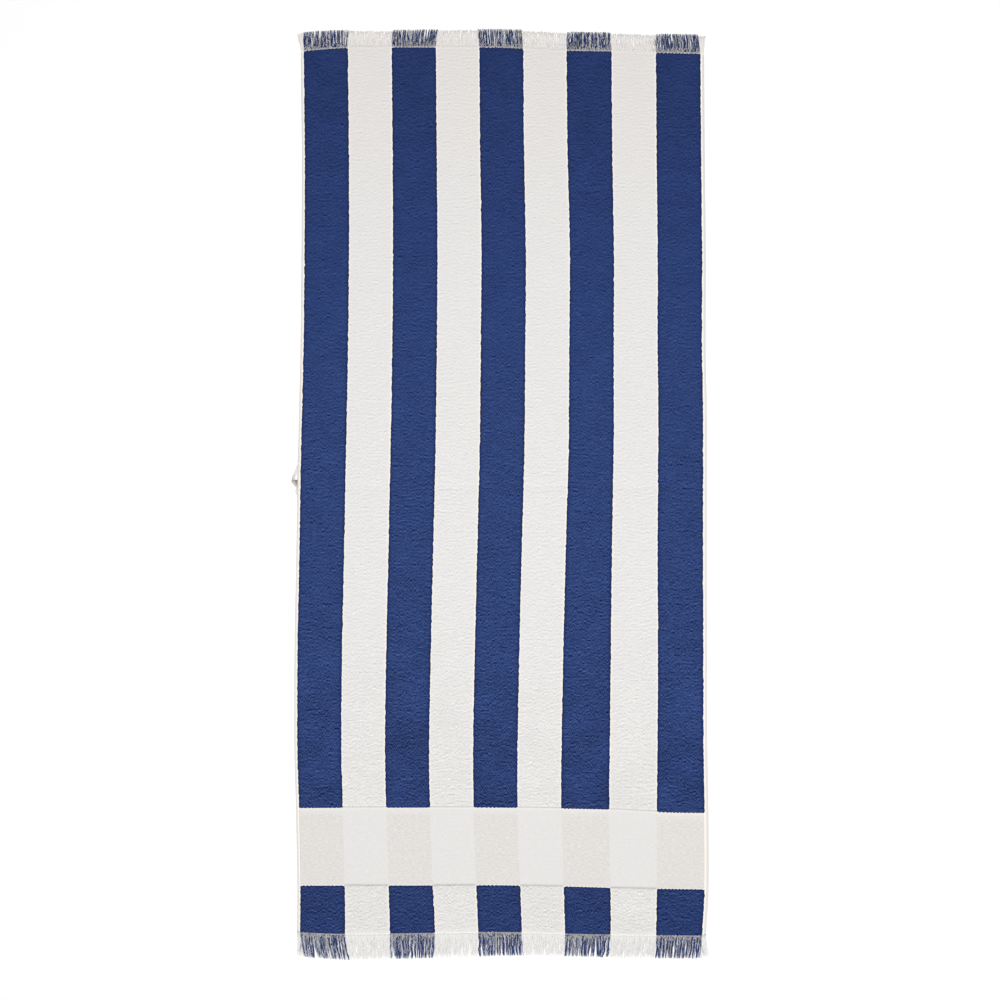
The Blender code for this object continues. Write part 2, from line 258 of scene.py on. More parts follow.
# The tape's lower end, which shows a little beside the selvedge: out, y and other out
TAIL = table(
    RUNGS[0]._fields,
    *((out, y, 0.0005, other_out, y, 0.0005, 0.0) for out, y, other_out in (
        (-0.002, 0.0135, -0.009), (0.0012, 0.0096, -0.0085), (0.0026, 0.005, -0.008),
        (0.0022, 0.001, -0.008), (0.0006, -0.003, -0.008), (-0.0012, -0.0055, -0.008),
    ))
)


# ---- where the cloth lies

def eased(rows, at, column):
    """The column's value at each first column's `at`, on a smooth curve through the rows."""
    rows = sorted(rows)
    keys = np.array([row[0] for row in rows])
    values = np.array([getattr(row, column) for row in rows])
    at = np.asarray(at, float)
    here = np.clip(np.searchsorted(keys, at, side="right") - 1, 0, len(rows) - 2)
    there = here + 1
    before, after = np.maximum(here - 1, 0), np.minimum(here + 2, len(rows) - 1)
    span = keys[there] - keys[here]
    leave = (values[there] - values[before]) / (keys[there] - keys[before]) * span
    arrive = (values[after] - values[here]) / (keys[after] - keys[here]) * span
    rise = values[there] - values[here]
    t = (at - keys[here]) / span
    bend = t * leave + t ** 2 * (3 * rise - 2 * leave - arrive)
    return values[here] + bend + t ** 3 * (leave + arrive - 2 * rise)


def across(stripe, y):
    """x of each place counted in stripes, on the line at its y."""
    stripe, y = np.broadcast_arrays(np.asarray(stripe, float), np.asarray(y, float))
    knots = [eased(COURSES, y, name) for name in COURSES[0]._fields[1:]]
    span = np.clip(np.searchsorted(KNOTS, stripe, side="right") - 1, 0, len(KNOTS) - 2)
    start, end = np.choose(span, knots[:-1]), np.choose(span, knots[1:])
    before, after = np.choose(span, KNOTS[:-1]), np.choose(span, KNOTS[1:])
    return start + (end - start) * (stripe - before) / (after - before)


def settled(stripe, level):
    """y of each place whose weft line would be at `level` if the cloth lay square."""
    stripe, level = np.broadcast_arrays(np.asarray(stripe, float), np.asarray(level, float))
    lines = np.array([BOTTOM, BORDER_BOTTOM, BORDER_TOP, TOP])
    sags = [eased(SAGS, stripe, name) for name in SAGS[0]._fields[:0:-1]]
    zone = np.clip(np.searchsorted(lines, level, side="right") - 1, 0, 2)
    share = (level - lines[zone]) / (lines[zone + 1] - lines[zone])
    return level - (1 - share) * np.choose(zone, sags[:3]) - share * np.choose(zone, sags[1:])


def ramp(value, start, end):
    """0 before start, 1 after end, smooth in between."""
    t = np.clip((value - start) / (end - start), 0, 1)
    return t * t * (3 - 2 * t)


def near(distance, reach):
    """1 where the distance is 0, falling to 0 at the reach."""
    return np.clip(1 - distance / reach, 0, 1) ** 2


def bell(distance, width):
    """1 where the distance is 0, and fading on both sides."""
    return np.exp(-((distance / width) ** 2))


def creased(x, y):
    """Depth of the creases at each place."""
    depth = 0.0
    for crease in CREASES:
        turn = math.radians(crease.turn)
        dx, dy = x - crease.x, y - crease.y
        along = (dx * math.cos(turn) + dy * math.sin(turn)) / (crease.length / 2)
        beside = (dy * math.cos(turn) - dx * math.sin(turn)) / (crease.width / 2)
        depth = depth + crease.depth * np.exp(-along ** 4 - beside ** 2)
    return depth


def swell(x, y):
    """Slow unevenness of the terry's face, between -1 and 1."""
    return sum(w.share * np.sin(w.per_x * x + w.per_y * y + w.start) for w in WAVES)


def lift(stripe, y):
    """How far the loop's sewn ends lift the cloth off the floor."""
    low, high = LOOP_BOTTOM - LIFT_MARGIN, LOOP_TOP + LIFT_MARGIN
    beside_loop = ramp(y, low - LIFT_SLOPE, low) * (1 - ramp(y, high, high + LIFT_SLOPE))
    near_edge = 1 - ramp(stripe, LIFT_WIDTH, LIFT_WIDTH + LIFT_FADE)
    return LOOP_LIFT * near_edge * beside_loop


def is_navy(stripe):
    """Whether each place is in a navy stripe."""
    return (stripe > 0) & (stripe < STRIPES) & (np.floor(stripe) % 2 == 0)


# ---- unevenness

REACH_X, REACH_Y = 0.45, 0.95       # half size of the ground that the random fields cover
SPLINE_SPREAD = 0.479               # spread of a spline surface over points of spread 1


def spline_weights(t):
    """Weights of the four lattice points around each place of a cubic spline."""
    return (
        (1 - t) ** 3 / 6,
        (3 * t ** 3 - 6 * t ** 2 + 4) / 6,
        (1 + 3 * t + 3 * t ** 2 - 3 * t ** 3) / 6,
        t ** 3 / 6,
    )


def random_field(seed, cell_x, cell_y):
    """A smooth random function of place with a spread of 1 and blobs of about that size."""
    columns, rows = int(2 * REACH_X / cell_x) + 4, int(2 * REACH_Y / cell_y) + 4
    lattice = np.random.default_rng(seed).standard_normal((rows, columns)) / SPLINE_SPREAD

    def at(x, y):
        u, v = (x + REACH_X) / cell_x, (y + REACH_Y) / cell_y
        i, j = np.floor(u).astype(int), np.floor(v).astype(int)
        total = 0.0
        for step, weight_y in enumerate(spline_weights(v - j)):
            for side, weight_x in enumerate(spline_weights(u - i)):
                point = lattice[(j + step) % rows, (i + side) % columns]
                total = total + weight_x * weight_y * point
        return total

    return at


def rippled_field(seed, period, cell_x, cell_y, along_y=True):
    """A smooth random function of place that ripples along y, or x, with this period,
    and whose ripples shift and fade over blobs of about the cells' size."""
    even, odd = random_field(seed, cell_x, cell_y), random_field(seed + 50, cell_x, cell_y)

    def at(x, y):
        turn = TURN * (y if along_y else x) / period
        return even(x, y) * np.cos(turn) + odd(x, y) * np.sin(turn)

    return at


waver = random_field(1, 0.012, 0.03)        # bends the ribs
ribs = rippled_field(2, RIB_PITCH, 0.012, 0.008)
tuft = random_field(8, 0.0016, 0.007)       # loops in a rib
single = random_field(3, 0.0016, 0.0014)    # loops that stand out of it
wear = random_field(4, 0.034, 0.024)        # where the pile lies flatter or stands up
side_teeth = rippled_field(5, TOOTH_PITCH, 0.03, 0.009)
side_nicks = random_field(9, 0.03, 0.0026)
end_teeth = rippled_field(6, RIB_PITCH, 0.012, 0.03, along_y=False)
weft_slubs = random_field(7, 0.03, 0.0022)


def roughness_along(y, navy):
    """How strongly the loops stand out: the face is combed smoother towards the top."""
    rough = 0.99 - 0.45 * ramp(y, -0.35, 0.6) - 0.15 * ramp(y, 0.62, 0.85)
    if navy:
        return rough + 0.05 * ramp(-y, 0.15, 0.35) - 0.1 * ramp(-y, 0.45, 0.8)
    return rough + 0.38 * ramp(-y, 0.18, 0.5) + 0.22 * ramp(-y, 0.6, 0.8)


def loops(x, y):
    """Heights of the terry's loops, with a spread of about 1: wavering weft-wise ribs,
    which tilt more towards the bottom, with single loops standing out."""
    shifted = y + (0.0008 + 0.0016 * ramp(-y, -0.1, 0.55)) * waver(x, y)
    tufts = math.sqrt(2) * tuft(x, shifted) * np.cos(TURN * shifted / RIB_PITCH)
    rib = 0.5 * ribs(x, shifted) + 0.5 * tufts
    return (rib + 0.6 * single(x, y)) * (1 + 0.1 * wear(x, y))


# ---- meshes

def stops(low, high, spacing, edge_steps):
    """Offsets from low to high, close together at both ends as the edge steps say."""
    first, last = low + edge_steps[-1], high - edge_steps[-1]
    count = max(1, round((last - first) / spacing))
    inner = np.linspace(first, last, count + 1)
    near, far = [low + s for s in edge_steps[:-1]], [high - s for s in edge_steps[-2::-1]]
    return np.concatenate([near, inner, far])


def grid_faces(rows, columns):
    """Quads of a grid of points, numbered row by row."""
    index = np.arange(rows * columns).reshape(rows, columns)
    corners = (index[:-1, :-1], index[:-1, 1:], index[1:, 1:], index[1:, :-1])
    return np.stack(corners, -1).reshape(-1, 4)


def rim_of(rows, columns):
    """Numbers of a grid's rim points, going round once."""
    index = np.arange(rows * columns).reshape(rows, columns)
    sides = (index[0, :-1], index[:-1, -1], index[-1, :0:-1], index[:0:-1, 0])
    return np.concatenate(sides)


def placed(name, data):
    """A new object with this data, in the scene."""
    made = bpy.data.objects.new(name, data)
    bpy.context.scene.collection.objects.link(made)
    return made


def add_piece(name, node, material, points, faces, values, uv):
    """A piece that rides on the towel and replaces this node of the CAD."""
    mesh = bpy.data.meshes.new(name)
    mesh.from_pydata(np.asarray(points).tolist(), [], [list(map(int, f)) for f in faces])
    for key, value in values.items():
        attribute = mesh.attributes.new(key, "FLOAT", "POINT")
        attribute.data.foreach_set("value", np.asarray(value, np.float32).ravel())
    layer = mesh.uv_layers.new(name="OFBake")
    layer.data.foreach_set("uv", np.asarray(uv, np.float32).ravel())
    mesh.materials.append(material)
    mesh.shade_smooth()
    piece = placed(name, mesh)
    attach(piece, "root")
    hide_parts(node)
    return piece


def folded_uv(faces, u, v, folds, margin=0.04, keep=0.92):
    """UVs of the faces' corners, by their shares u across and v along a strip that is cut
    into `folds` lengths, side by side. Larger faces go to the bottom margin."""
    uvs = []
    for face in faces:
        place_u, place_v = u[face], v[face]
        if len(face) > 4:
            place_v = 0.01 * place_v
        else:
            fold = min(folds - 1, max(0, int(place_v.mean() * folds)))
            place_u = (fold + margin + keep * place_u) / folds
            place_v = margin + keep * (place_v * folds - fold)
        uvs.append(np.stack([place_u, place_v], -1))
    return np.concatenate(uvs)


def skirted(places, flat, foot, values, skirt=0.0012):
    """Closes a grid of places: its rim goes down to `foot`, with a flat bottom. Returns
    points, faces, flat places, with the rim's out by `skirt`, and values."""
    rows, columns = places.shape[:2]
    rim = rim_of(rows, columns)
    top, spots = places.reshape(-1, 3), flat.reshape(-1, 2)
    low = top[rim].copy()
    low[:, 2] = foot.ravel()[rim]
    aside = spots[rim] - spots.mean(0)
    at_side = np.abs(aside) > np.ptp(spots, axis=0) / 2 - 1e-6
    out = spots[rim] + skirt * np.sign(aside) * at_side
    under = len(top) + np.arange(len(rim))
    walls = np.stack([under, np.roll(under, -1), np.roll(rim, -1), rim], -1)
    faces = [*grid_faces(rows, columns), *walls, under[::-1]]
    values = {
        key: np.concatenate([value.ravel(), value.ravel()[rim]])
        for key, value in values.items()
    }
    return np.concatenate([top, low]), faces, np.concatenate([spots, out]), values


# ---- materials

def add_node(tree, kind, inputs=(), **settings):
    """A shader node with its settings, and inputs given as pairs of name or number and
    value, or the socket that feeds it."""
    made = tree.nodes.new("ShaderNode" + kind)
    for key, value in settings.items():
        setattr(made, key, value)
    for key, value in inputs:
        if isinstance(value, bpy.types.NodeSocket):
            tree.links.new(value, made.inputs[key])
        else:
            made.inputs[key].default_value = value
    return made


def output(tree, kind, inputs=(), which=0, **settings):
    """One output of a new shader node, by its name or number."""
    return add_node(tree, kind, inputs, **settings).outputs[which]


def mixed(tree, share, first, second):
    """Colour between first and second by the share."""
    pairs = ((0, share), (6, first), (7, second))
    return output(tree, "Mix", pairs, 2, data_type="RGBA")


def mapped(tree, value, low, high, to_low=0.0, to_high=1.0):
    """The value between low and high, spread from to_low to to_high."""
    pairs = ((0, value), (1, low), (2, high), (3, to_low), (4, to_high))
    return output(tree, "MapRange", pairs)


def maths(tree, operation, first, second=0.0, third=0.5):
    pairs = ((0, first), (1, second), (2, third))
    return output(tree, "Math", pairs, operation=operation)


def vector_maths(tree, operation, first, second, which=0):
    pairs = ((0, first), (1, second))
    return output(tree, "VectorMath", pairs, which, operation=operation)


def point_value(tree, name):
    return output(tree, "Attribute", (), "Fac", attribute_name=name)


def own_place(tree):
    """The place of each point on the towel, in metres."""
    return output(tree, "TexCoord", (), "Object")


def own_y(tree):
    return output(tree, "SeparateXYZ", ((0, own_place(tree)),), "Y")


def noise(tree, scale, detail=2.0, stretch=(1.0, 1.0, 1.0)):
    """Noise around 0.5, its blobs about 1/scale metres long and drawn out by `stretch`."""
    squeeze = tuple(scale / s for s in stretch)
    spot = vector_maths(tree, "MULTIPLY", own_place(tree), squeeze)
    pairs = (("Vector", spot), ("Scale", 1.0), ("Detail", detail))
    return output(tree, "TexNoise", pairs, "Fac")


def sine(tree, turn):
    """The sine of the turn, brought between 0 and 1."""
    return maths(tree, "MULTIPLY_ADD", maths(tree, "SINE", turn), 0.5, 0.5)


def ripples(tree, period, direction):
    """A sine wave between 0 and 1 with this period, running along the direction."""
    aim = tuple(Vector(direction).normalized() * (TURN / period))
    return sine(tree, vector_maths(tree, "DOT_PRODUCT", own_place(tree), aim, "Value"))


def new_material(name, **sockets):
    """A material whose shader has these sockets set, by their names with _ for a space.
    Returns the material, its tree and its shader."""
    made = bpy.data.materials.new(name)
    made.use_nodes = True
    shader = made.node_tree.nodes["Principled BSDF"]
    for key, value in sockets.items():
        shader.inputs[key.replace("_", " ")].default_value = value
    return made, made.node_tree, shader


def fabric(name, roughness=0.95, sheen=0.1):
    """A cloth material that has no colour yet: the material, its tree and its shader."""
    return new_material(
        name, Roughness=roughness, Specular_IOR_Level=0.12, Sheen_Weight=sheen,
        Sheen_Roughness=0.6,
    )


def dressed(tree, shader, colour, height, distance):
    """Gives the shader its colour, and a bump of this many metres from low to high."""
    pairs = (("Height", height), ("Distance", distance), ("Strength", 1.0))
    tree.links.new(colour, shader.inputs["Base Color"])
    tree.links.new(output(tree, "Bump", pairs), shader.inputs["Normal"])


def along_length(tree, colours, reach=0.9):
    """Colour by place along the towel, through (y, colour) pairs."""
    share = mapped(tree, own_y(tree), -reach, reach)
    scale = add_node(tree, "ValToRGB", ((0, share),))
    scale.color_ramp.interpolation = "B_SPLINE"
    marks = scale.color_ramp.elements
    while len(marks) < len(colours):
        marks.new(0.5)
    for mark, (at, colour) in zip(marks, colours):
        mark.position = (at + reach) / (2 * reach)
        mark.color = (*colour, 1.0)
    return scale.outputs["Color"]


def added(tree, first, second):
    """The sum of two colours, none of it below a very dark one."""
    total = vector_maths(tree, "ADD", first, second)
    return vector_maths(tree, "MAXIMUM", total, (0.003, 0.006, 0.02))


def scaled(tree, colour, strength):
    """The colour times the strength."""
    pairs = ((0, colour), ("Scale", strength))
    return output(tree, "VectorMath", pairs, operation="SCALE")


def loop_grain(tree):
    """The grain that single loops make, around 0: short dashes in weft-wise ribs."""
    wander = maths(tree, "MULTIPLY", noise(tree, 34.0, 1.0), 12.0)
    turn = maths(tree, "MULTIPLY_ADD", own_y(tree), TURN / RIB_PITCH, wander)
    single_loops = maths(tree, "SUBTRACT", noise(tree, 330.0, 0.0, (0.8, 5.0, 1.0)), 0.5)
    rows = maths(tree, "SUBTRACT", noise(tree, 90.0, 0.0, (1.0, 0.6, 1.0)), 0.5)
    heights = maths(tree, "MULTIPLY_ADD", rows, 0.5, single_loops)
    dashes = maths(tree, "MULTIPLY", heights, maths(tree, "COSINE", turn))
    dots = maths(tree, "SUBTRACT", noise(tree, 380.0, 1.0), 0.5)
    return maths(tree, "MULTIPLY_ADD", dashes, 1.8, dots)


def terry(name, colours, edge_colour, contrast, grain, blotch, sheen):
    """Terry: its colour along the length, with painted shade where the light falls off
    towards both ends; darker between the loops, which is painted shade; blotched by wear;
    with the light that single loops catch painted in the grain's colour; and at its edges
    painted shade on navy and a painted bright line on white."""
    made, tree, shader = fabric(name, sheen=sheen)
    # Painted shade between the loops: the lower a loop, the darker.
    rise = mapped(tree, point_value(tree, "rise"), -2.5, 2.5, 1 - contrast, 1 + contrast)
    blotches = mapped(tree, noise(tree, 22.0, 3.0), 0.3, 0.7, 1 - blotch, 1 + blotch)
    loops_here = loop_grain(tree)
    coarse = maths(tree, "MULTIPLY", loops_here, point_value(tree, "coarse"))
    strength = maths(tree, "MULTIPLY", rise, blotches)
    shade = scaled(tree, along_length(tree, colours), strength)
    shade = added(tree, shade, scaled(tree, grain, coarse))
    edged = mixed(tree, point_value(tree, "edge"), shade, (*edge_colour, 1.0))
    fine = maths(tree, "MULTIPLY", noise(tree, 900.0, 2.0), 0.5)
    dressed(tree, shader, edged, maths(tree, "ADD", loops_here, fine), 0.0004)
    return made


def plain_weave(name):
    """The flat weave: cream or white by column, fine wefts, with painted ivory highlights
    along its borders and painted shade in its grooves.
    """
    made, tree, shader = fabric(name, roughness=0.9, sheen=0.05)
    cream = point_value(tree, "cream")
    colour = mixed(tree, cream, WHITE_WEAVE, CREAM_WEAVE)
    dashes = maths(tree, "SUBTRACT", noise(tree, 680.0, 1.0, (4.5, 1.0, 1.0)), 0.5)
    dashes = maths(tree, "MULTIPLY", dashes, 1.3)
    wefts = maths(tree, "MULTIPLY_ADD", noise(tree, 620.0, 1.0), 0.9, dashes)
    wefts = maths(tree, "SUBTRACT", wefts, 0.45)
    slubs = mapped(tree, cream, 0, 1, 0.14, 0.32)
    uneven = scaled(tree, colour, maths(tree, "MULTIPLY_ADD", wefts, slubs, 1.0))
    # Painted highlight: bright ivory lines.
    lit = mixed(tree, point_value(tree, "ivory"), uneven, IVORY_HIGHLIGHT)
    # Painted shade in grooves and shadow lines.
    dimmed = mixed(tree, point_value(tree, "groove"), lit, GROOVE_SHADE)
    warps, wefts = ripples(tree, 0.0011, (1, 0, 0)), ripples(tree, 0.0009, (0, 1, 0))
    dressed(tree, shader, dimmed, maths(tree, "MULTIPLY", warps, wefts), 0.00012)
    return made


def yarn_material(name, colours, contrast, other=None, bare=0.0, near=0.0):
    """A spun yarn, its colours from the bottom fringe to the top one: mottled, with painted
    shade along the slant of its twist. Yarns of the other colour hide it in places: less of
    it the higher
    `bare` is, and more of it near the cloth by `near`."""
    made, tree, shader = fabric(name)
    mottle = mapped(tree, noise(tree, 420.0, 2.0), 0.25, 0.75, 1 - contrast, 1 + contrast)
    spin = ripples(tree, YARN_TWIST, (1, 1.4, 0))
    # Painted shade in the twist's grooves.
    twist = mapped(tree, spin, 0, 1, 1 - contrast / 2, 1)
    colour = along_length(tree, colours)
    if other:
        patches = noise(tree, 430.0, 0.0, (0.55, 1.8, 1.0))
        patches = maths(tree, "MULTIPLY_ADD", point_value(tree, "meshed"), near, patches)
        hidden = mapped(tree, patches, bare, bare + 0.09)
        colour = mixed(tree, hidden, colour, along_length(tree, other))
    shade = scaled(tree, colour, maths(tree, "MULTIPLY", mottle, twist))
    dressed(tree, shader, shade, spin, 0.00012)
    return made


def tape_material(name):
    """Woven tape: ribs across it with painted shade in their hollows, and painted shade on
    the side that is turned away.
    """
    made, tree, shader = fabric(name, roughness=0.9, sheen=0.05)
    shaded = mixed(tree, point_value(tree, "shade"), TAPE_LIGHT, TAPE_SHADED)
    # Painted shade in the ribs' hollows.
    ribbing = sine(tree, maths(tree, "MULTIPLY", point_value(tree, "along"), TAPE_RIBS))
    colour = scaled(tree, shaded, mapped(tree, ribbing, 0, 1, 0.93, 1.02))
    dressed(tree, shader, colour, ribbing, 0.0001)
    return made


# Terry colours along the length, lightest in the middle and darker towards both ends: painted
# shade where the light falls off.
NAVY = (
    (-0.8, (0.018, 0.0375, 0.131)),
    (-0.55, (0.0218, 0.044, 0.145)),
    (-0.3, (0.0248, 0.0498, 0.163)),
    (0.1, (0.0242, 0.049, 0.16)),
    (0.4, (0.0205, 0.0442, 0.156)),
    (0.8, (0.0145, 0.0312, 0.115)),
)
NAVY_GRAIN = (0.054, 0.074, 0.138)
WHITE = (
    (-0.8, (0.716, 0.697, 0.676)),
    (-0.3, (0.739, 0.732, 0.72)),
    (0.1, (0.732, 0.724, 0.71)),
    (0.55, (0.727, 0.714, 0.701)),
    (0.85, (0.705, 0.674, 0.652)),
)
WHITE_GRAIN = (0.148, 0.146, 0.143)
# Painted shade where the navy pile rounds off at its edges.
NAVY_EDGE_SHADE = (0.0065, 0.018, 0.095)
# Painted highlight: a bright ivory for lines along edges and the selvedges' inner parts.
IVORY_HIGHLIGHT = (0.96, 0.9, 0.8, 1.0)
WHITE_WEAVE = (0.745, 0.735, 0.72, 1.0)
CREAM_WEAVE = (0.715, 0.688, 0.665, 1.0)
# Painted shade for grooves and shadow lines.
GROOVE_SHADE = (0.5, 0.47, 0.44, 1.0)
# Yarns in the bottom fringe and in the top one
YARN_NAVY = ((-0.5, (0.014, 0.04, 0.175)), (0.5, (0.008, 0.028, 0.132)))
YARN_CREAM = ((-0.5, (0.52, 0.51, 0.495)), (0.5, (0.49, 0.47, 0.445)))
YARN_WHITE = ((-0.5, (0.835, 0.825, 0.807)), (0.5, (0.845, 0.81, 0.785)))
HEADER_CREAM = ((-0.5, (0.542, 0.525, 0.543)), (0.5, (0.57, 0.556, 0.58)))
HEADER_WHITE = ((-0.5, (0.95, 0.94, 0.92)), (0.5, (0.88, 0.85, 0.825)))
TAPE_LIGHT = (0.78, 0.77, 0.755, 1.0)
TAPE_SHADED = (0.22, 0.172, 0.12, 1.0)
TAPE_RIBS = TURN / 0.0012


# ---- the cloth

def make_base(material_top, material_navy, material_white):
    """The woven ground of the towel: both faces, with the selvedges' profile."""
    profile = (
        # share of the selvedge's width in from its outer edge, height, share of painted ivory
        # highlight
        (0.0, 0.0004, 0.0), (0.05, 0.0011, 0.0), (0.2, 0.0014, 0.0),
        (0.47, 0.0013, 0.0), (0.57, 0.0012, 0.3), (0.67, 0.0017, 1.0),
        (0.88, 0.0018, 1.0), (1.0, 0.0014, 1.0),
    )
    left = [(LEFT_SELVEDGE * (share - 1) / STRIPE, *rest) for share, *rest in profile]
    right = [
        (STRIPES + RIGHT_SELVEDGE * (1 - share) / STRIPE, *rest)
        for share, *rest in reversed(profile)
    ]
    inner = [(i / 4, FLAT_WEAVE, 1.0) for i in range(1, STRIPES * 4)]
    columns = np.array(left + inner + right)
    levels = stops(BOTTOM - 0.001, TOP + 0.001, 0.012, (0.0, 0.0006, 0.002))
    stripe, level = np.meshgrid(columns[:, 0], levels)
    y = settled(stripe, level)
    x = across(stripe, y)
    raised = lift(stripe, y)
    rows, count = stripe.shape
    heights = np.tile(columns[:, 1], (rows, 1))
    heights[[0, -1]] *= 0.6
    top = np.stack([x, y, raised + heights], -1).reshape(-1, 3)
    underneath = np.stack([x, y, raised], -1).reshape(-1, 3)
    rim = rim_of(rows, count)
    ahead, size = np.roll(rim, -1), rows * count
    quads = grid_faces(rows, count)
    walls = np.stack([rim + size, ahead + size, ahead, rim], -1)
    faces = np.concatenate([quads, quads[:, ::-1] + size, walls])
    u = (stripe.ravel() - OUTER_EDGE) / (STRIPES - 2 * OUTER_EDGE)
    v = (level.ravel() - levels[0]) / (levels[-1] - levels[0])
    top_uv = np.stack([0.01 + 0.48 * u, 0.01 + 0.98 * v], -1)
    uv = np.concatenate([top_uv, top_uv + (0.5, 0.0)])[faces.ravel()]
    ivory = np.tile(columns[:, 2], (rows, 1))
    # Painted shade along the outer parts of the selvedges, deeper towards the top and on the
    # right.
    shaded = np.where(stripe < 0, 0.04, 0.06)
    shaded = shaded + np.where(stripe < 0, 0.1, 0.16) * ramp(level, -0.3, 0.5)
    values = {
        **dict.fromkeys(("cream", "rise", "edge"), np.zeros(size * 2)),
        "coarse": np.ones(size * 2),
        "ivory": np.tile(ivory.ravel(), 2),
        "groove": np.tile((shaded * (ivory == 0)).ravel(), 2),
    }
    base = add_piece(
        "base_cloth", "towel_body", material_top,
        np.concatenate([top, underneath]), faces, values, uv,
    )
    base.data.materials.append(material_navy)
    base.data.materials.append(material_white)
    middle, middle_level = stripe.ravel()[quads].mean(1), level.ravel()[quads].mean(1)
    border = (middle_level > BORDER_BOTTOM) & (middle_level < BORDER_TOP)
    inside = (middle > 0) & (middle < STRIPES) & ~border
    slots = np.zeros(len(faces), np.int32)
    slots[len(quads):2 * len(quads)] = np.where(inside, np.where(is_navy(middle), 1, 2), 0)
    base.data.polygons.foreach_set("material_index", slots)
    return base


def make_terry(number, low, high):
    """One block of terry: stripe `number` between two levels. Returns its points, faces,
    flat places and values."""
    navy = is_navy(number + 0.5)
    if navy:
        low = low - OVERHANG
        high = high + (OVERHANG if high < TOP else 0)
    elif high == TOP:
        low, high = low + WHITE_UP, high + WHITE_OVERHANG
    else:
        high = high + WHITE_UP
    offsets = stops(SEAM, STRIPE - SEAM, COLUMN_STEP, EDGE_STEPS)
    offset, level = np.meshgrid(offsets, stops(low, high, ROW_STEP, EDGE_STEPS))
    stripe = number + offset / STRIPE
    from_side = np.minimum(offset, STRIPE - offset)
    from_end = np.minimum(level - low, high - level)
    y = settled(stripe, level)
    x = across(stripe, y)

    # The outline: teeth, the lean of the navy pile, and corners that draw in
    near_side, near_end = 1 - ramp(from_side, 0.0, 0.006), 1 - ramp(from_end, 0.0, 0.006)
    rounded = CORNER * near(from_side, 0.004)
    inward = np.where(level - low < high - level, 1, -1)
    seam = np.round(stripe)
    apart = 0.08 * (seam - 4.5)
    teeth = SIDE_TEETH * (0.25 * side_teeth(apart, y) + side_nicks(apart, y))
    shift_x = near_side * (teeth + LEAN * (seam % 2 == 1))
    shift_y = near_end * (inward * rounded + END_TEETH * end_teeth(x, y * 0))
    x, y = x + shift_x, y + shift_y

    # The face: loops, creases and edges that round off, less where they meet the fringe
    last = 0 if navy else 1 - ramp(level - BOTTOM, 0.002, 0.011)
    topmost = 0 if navy else ramp(level - TOP - WHITE_OVERHANG, -0.0052, -0.0026)
    coarse = roughness_along(y, navy) * (1 - 0.6 * last)
    relief = loops(x, y) * coarse
    inner = 0.4 + 0.6 * ramp(np.minimum(from_side, from_end), 0.0, 0.003)
    side_drop = (1.0 if navy else 0.12) * near(from_side, EDGE_ROUND)
    at_fringe = (level > 0) | (level < (BOTTOM + BORDER_BOTTOM) / 2)
    end_drop = np.where(~navy & at_fringe, 0.12, 1.0) * near(from_end, EDGE_ROUND)
    face = PILE + RELIEF * swell(x, y) - creased(x, y) + LOOP_RELIEF * relief * inner
    face = np.maximum(face - EDGE_DROP * (side_drop + end_drop), FLAT_WEAVE + 0.0002)
    raised = lift(stripe, y)

    # Painted edge colour: shade where the navy pile rounds off at its sides and ends, and a
    # bright line along the white pile's sides.
    edge = bell(from_side, 0.0032 if navy else 0.0018)
    if navy:
        edge = np.maximum(edge, bell(from_end, 0.0016))
    # The rise paints shade between the loops: the loops' heights, with the pile's wear, and
    # raised at the white pile's ends by the fringes.
    worn = 0.45 * ramp(-y, 0.2, 0.4) - (0.25 if navy else 0) * ramp(-y, 0.6, 0.75)
    rise = relief + worn * wear(x, y) + 2.0 * last + 2.5 * topmost
    return skirted(
        np.stack([x, y, face + raised], -1), np.stack([offset, level], -1),
        PILE_FOOT + raised, {"rise": rise, "edge": edge, "coarse": coarse},
    )


def make_stripe(number, name, material):
    """The terry of one stripe: a short block below the border and a long one above it."""
    spans = ((BOTTOM, BORDER_BOTTOM), (BORDER_TOP, TOP))
    points, faces, flat, values = zip(*(make_terry(number, *span) for span in spans))
    faces = [*faces[0], *(np.asarray(face) + len(points[0]) for face in faces[1])]
    values = {key: np.concatenate([block[key] for block in values]) for key in values[0]}
    flat = np.concatenate(flat)
    u, v = flat[:, 0] / STRIPE, (flat[:, 1] - BOTTOM) / (TOP - BOTTOM)
    return add_piece(
        name, "towel_body", material, np.concatenate(points), faces, values,
        folded_uv(faces, u, v, 5),
    )


